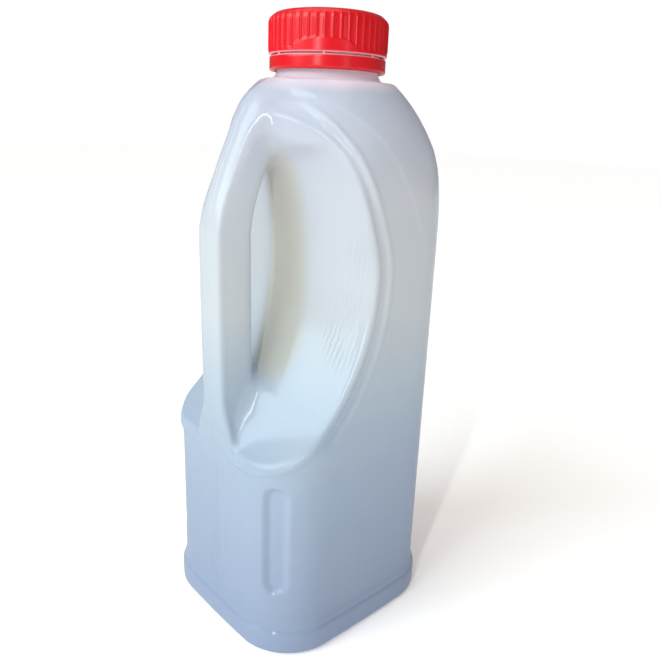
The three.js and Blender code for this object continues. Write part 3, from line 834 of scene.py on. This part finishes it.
def tool_marks(add, tree, place):
    """Fine wavy lines that the mould's cutter left along the rim, on the panel."""
    centre = ((RIM_FRONT_X - RIM_LOWER_RADIUS + SHIFT_X) * MM, 0, RIM_MIDDLE_Z * MM)
    offset = operate(tree, "ShaderNodeVectorMath", "SUBTRACT", place, centre)
    flat = operate(tree, "ShaderNodeVectorMath", "MULTIPLY", offset, (1, 0, 1))
    reach = operate(tree, "ShaderNodeVectorMath", "LENGTH", flat)
    wobble = add("ShaderNodeTexNoise", Vector=place, Scale=260, Detail=2, Roughness=0.6).outputs["Fac"]
    turns = operate(tree, "ShaderNodeMath", "MULTIPLY", reach, 2 * math.pi / (TOOL_MARK_PITCH * MM))
    turns = operate(tree, "ShaderNodeMath", "MULTIPLY_ADD", wobble, TOOL_MARK_WOBBLE, turns)
    wave = operate(tree, "ShaderNodeMath", "SINE", turns)
    axes = add("ShaderNodeSeparateXYZ", Vector=place)
    from_middle = operate(tree, "ShaderNodeMath", "ABSOLUTE", axes.outputs["Y"])
    for value, start, limits in (
        (reach, RIM_LOWER_RADIUS, TOOL_MARKS_INSIDE_RIM),
        (reach, RIM_LOWER_RADIUS, TOOL_MARKS_NEAR_RIM),
        (from_middle, 0, TOOL_MARKS_OFF_MIDDLE),
        (axes.outputs["Z"], 0, TOOL_MARKS_UPPER_Z),
        (axes.outputs["Z"], 0, TOOL_MARKS_LOWER_Z),
    ):
        full, gone = ((start + limit) * MM for limit in limits)
        mask = mask_between(add, value, full, gone)
        wave = operate(tree, "ShaderNodeMath", "MULTIPLY", wave, mask)
    return wave


def milky_colour_and_painted_light(add, tree, place, cloud):
    """Painted shade, darker and bluer towards the foot; painted light, bright and pink under the cap;
    and painted warm shade round the finger hole.
    """
    height = add("ShaderNodeSeparateXYZ", Vector=place).outputs["Z"]
    level = operate(tree, "ShaderNodeMath", "MULTIPLY_ADD", cloud, CLOUD_RISE * MM, height)
    stretch = {"From_Min": MILKY_LOW_Z * MM, "From_Max": MILKY_HIGH_Z * MM}
    share = add("ShaderNodeMapRange", Value=level, **stretch).outputs["Result"]
    # The ramp paints shade towards the foot and paints light on the neck under the cap
    colour = colour_ramp(add, share, MILKY_AND_PAINTED_LIGHT_COLOURS)

    middle = [(value + shift) * MM for value, shift in zip(THROAT_MIDDLE, (SHIFT_X, 0, 0))]
    reach = [value * MM for value in THROAT_REACH]
    offset = operate(tree, "ShaderNodeVectorMath", "SUBTRACT", place, middle)
    scaled = operate(tree, "ShaderNodeVectorMath", "DIVIDE", offset, reach)
    distance = operate(tree, "ShaderNodeVectorMath", "LENGTH", scaled)
    # Painted warm shade on the walls round the finger hole
    throat_shade = mask_between(add, distance, THROAT_FULL, THROAT_GONE)
    return blend_colours(tree, throat_shade, colour, (*THROAT_SHADE_COLOUR, 1))


def milky_plastic():
    """Glossy plastic that lets part of the light through, with painted shade and light in its colour.
    """
    material, tree, add = new_material("milky_plastic")
    place = add("ShaderNodeTexCoord").outputs["Object"]
    cloud = add("ShaderNodeTexNoise", Vector=place, Scale=22, Detail=3, Roughness=0.5).outputs["Fac"]
    colour = milky_colour_and_painted_light(add, tree, place, cloud)
    marks = add("ShaderNodeBump", Strength=0.25, Distance=0.0002, Height=tool_marks(add, tree, place))
    grain = add("ShaderNodeTexNoise", Vector=place, Scale=900, Detail=2, Roughness=0.6)
    bump = add(
        "ShaderNodeBump",
        Strength=0.06,
        Distance=0.0004,
        Height=grain.outputs["Fac"],
        Normal=marks.outputs["Normal"],
    )
    roughness = add("ShaderNodeMapRange", Value=cloud, To_Min=0.1, To_Max=0.15)
    surface = add(
        "ShaderNodeBsdfPrincipled",
        Base_Color=colour,
        Roughness=roughness.outputs["Result"],
        Normal=bump.outputs["Normal"],
        IOR=1.5,
    )
    through = add("ShaderNodeBsdfTranslucent", Color=colour, Normal=bump.outputs["Normal"])
    mix = add("ShaderNodeMixShader", Fac=SHARE_THROUGH)
    tree.links.new(surface.outputs["BSDF"], mix.inputs[1])
    tree.links.new(through.outputs["BSDF"], mix.inputs[2])
    finish_material(tree, mix.outputs["Shader"])
    return material


def red_plastic():
    material, tree, add = new_material("red_plastic")
    place = add("ShaderNodeTexCoord").outputs["Object"]
    cloud = add("ShaderNodeTexNoise", Vector=place, Scale=60, Detail=3, Roughness=0.5)
    colour = colour_ramp(add, cloud.outputs["Fac"], RED_COLOURS)
    height = add("ShaderNodeSeparateXYZ", Vector=place).outputs["Z"]
    slit_middle = (CAP_LOW_Z + BAND_HEIGHT + SLIT_HEIGHT / 2) * MM
    above_slit = operate(tree, "ShaderNodeMath", "SUBTRACT", height, slit_middle)
    from_slit = operate(tree, "ShaderNodeMath", "ABSOLUTE", above_slit)
    full, gone = (limit * MM for limit in SLIT_HIGHLIGHT_REACH)
    # Painted highlight along the slit's edges
    slit_highlight = mask_between(add, from_slit, full, gone)
    colour = blend_colours(tree, slit_highlight, colour, (*SLIT_HIGHLIGHT_COLOUR, 1))
    grain = add("ShaderNodeTexNoise", Vector=place, Scale=1500, Detail=2, Roughness=0.6)
    bump = add("ShaderNodeBump", Strength=0.05, Distance=0.0003, Height=grain.outputs["Fac"])
    surface = add(
        "ShaderNodeBsdfPrincipled",
        Base_Color=colour,
        Roughness=0.26,
        Normal=bump.outputs["Normal"],
        IOR=1.5,
        Specular_IOR_Level=0.35,
        Subsurface_Weight=0.1,
        Subsurface_Radius=(0.004, 0.001, 0.001),
        Subsurface_Scale=1,
    )
    finish_material(tree, surface.outputs["BSDF"])
    return material


def pale_floor():
    """A matt floor with a little light of its own, which keeps shadows on it faint."""
    material, tree, add = new_material("pale_floor")
    place = add("ShaderNodeTexCoord").outputs["Object"]
    cloud = add("ShaderNodeTexNoise", Vector=place, Scale=3, Detail=2)
    surface = add(
        "ShaderNodeBsdfPrincipled",
        Base_Color=colour_ramp(add, cloud.outputs["Fac"], FLOOR_COLOURS),
        Roughness=0.8,
        Emission_Color=(1, 1, 1, 1),
        Emission_Strength=FLOOR_GLOW,
    )
    finish_material(tree, surface.outputs["BSDF"])
    return material


def make_floor():
    half = FLOOR_HALF
    corners = [(-half, -half, 0), (half, -half, 0), (half, half, 0), (-half, half, 0)]
    mesh = bpy.data.meshes.new("floor")
    mesh.from_pydata(corners, [], [(0, 1, 2, 3)])
    floor = bpy.data.objects.new("floor", mesh)
    bpy.context.scene.collection.objects.link(floor)
    floor.data.materials.append(pale_floor())


def make_camera():
    azimuth, pitch, roll = CAMERA_AZIMUTH, CAMERA_PITCH, CAMERA_ROLL
    ahead_x, ahead_y = math.sin(azimuth), math.cos(azimuth)
    forward = Vector((ahead_x * math.cos(pitch), ahead_y * math.cos(pitch), -math.sin(pitch)))
    level_right = Vector((ahead_y, -ahead_x, 0))
    level_up = level_right.cross(forward)
    right = math.cos(roll) * level_right - math.sin(roll) * level_up
    up = math.sin(roll) * level_right + math.cos(roll) * level_up
    camera = bpy.data.objects.new("camera", bpy.data.cameras.new("camera"))
    camera.data.sensor_width = SENSOR_WIDTH
    camera.data.lens = SENSOR_WIDTH * FOCAL_PIXELS / IMAGE_PIXELS
    camera.data.clip_start = CLIP_START
    turn = Matrix((right, up, -forward)).transposed().to_4x4()
    place = Vector((CAMERA_PLACE[0] + SHIFT_X, *CAMERA_PLACE[1:])) * MM
    camera.matrix_world = Matrix.Translation(place) @ turn
    bpy.context.scene.collection.objects.link(camera)
    bpy.context.scene.camera = camera


def aim_at(lamp, target):
    """Turns a lamp to the target and puts it in the scene."""
    lamp.rotation_euler = (Vector(target) - lamp.location).to_track_quat("-Z", "Y").to_euler()
    bpy.context.scene.collection.objects.link(lamp)


def sun(name, azimuth, elevation, spread, strength, colour):
    """A soft sun. Azimuth is measured from +Y towards +X, in degrees."""
    light = bpy.data.lights.new(name, "SUN")
    light.angle = math.radians(spread)
    light.energy = strength
    light.color = colour
    lamp = bpy.data.objects.new(name, light)
    turn, rise = math.radians(azimuth), math.radians(elevation)
    level = math.cos(rise)
    lamp.location = (math.sin(turn) * level, math.cos(turn) * level, math.sin(rise))
    aim_at(lamp, (0, 0, 0))


def softbox(name, place, size, power, colour):
    light = bpy.data.lights.new(name, "AREA")
    light.shape = "RECTANGLE"
    light.size, light.size_y = size
    light.energy = power
    light.color = colour
    lamp = bpy.data.objects.new(name, light)
    lamp.location = place
    aim_at(lamp, STRIP_TARGET)


def make_lights():
    """The lamps, and a sky that is white to the camera and a dim warm fill to the rest."""
    sun("window", **WINDOW)
    sun("ceiling", **CEILING)
    softbox("strip_left", **STRIP_LEFT)
    softbox("strip_front", **STRIP_FRONT)
    world = bpy.data.worlds.new("studio")
    world.use_nodes = True
    tree = world.node_tree
    seen = tree.nodes.new("ShaderNodeLightPath").outputs["Is Camera Ray"]
    strength = tree.nodes.new("ShaderNodeMapRange")
    strength.inputs["To Min"].default_value = SKY_STRENGTH
    strength.inputs["To Max"].default_value = SEEN_SKY_STRENGTH
    tree.links.new(seen, strength.inputs["Value"])
    background = tree.nodes["Background"]
    sky = blend_colours(tree, seen, (*SKY_COLOUR, 1), (1, 1, 1, 1))
    tree.links.new(sky, background.inputs["Color"])
    tree.links.new(strength.outputs["Result"], background.inputs["Strength"])
    bpy.context.scene.world = world
    bpy.context.scene.view_settings.view_transform = "Standard"


make_camera()
bottle = make_bottle()
bottle.data.materials.append(milky_plastic())
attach(bottle, "root")
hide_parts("bottle")

cap = make_cap()
cap.data.materials.append(red_plastic())
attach(cap, "root")
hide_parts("cap")

make_floor()
make_lights()
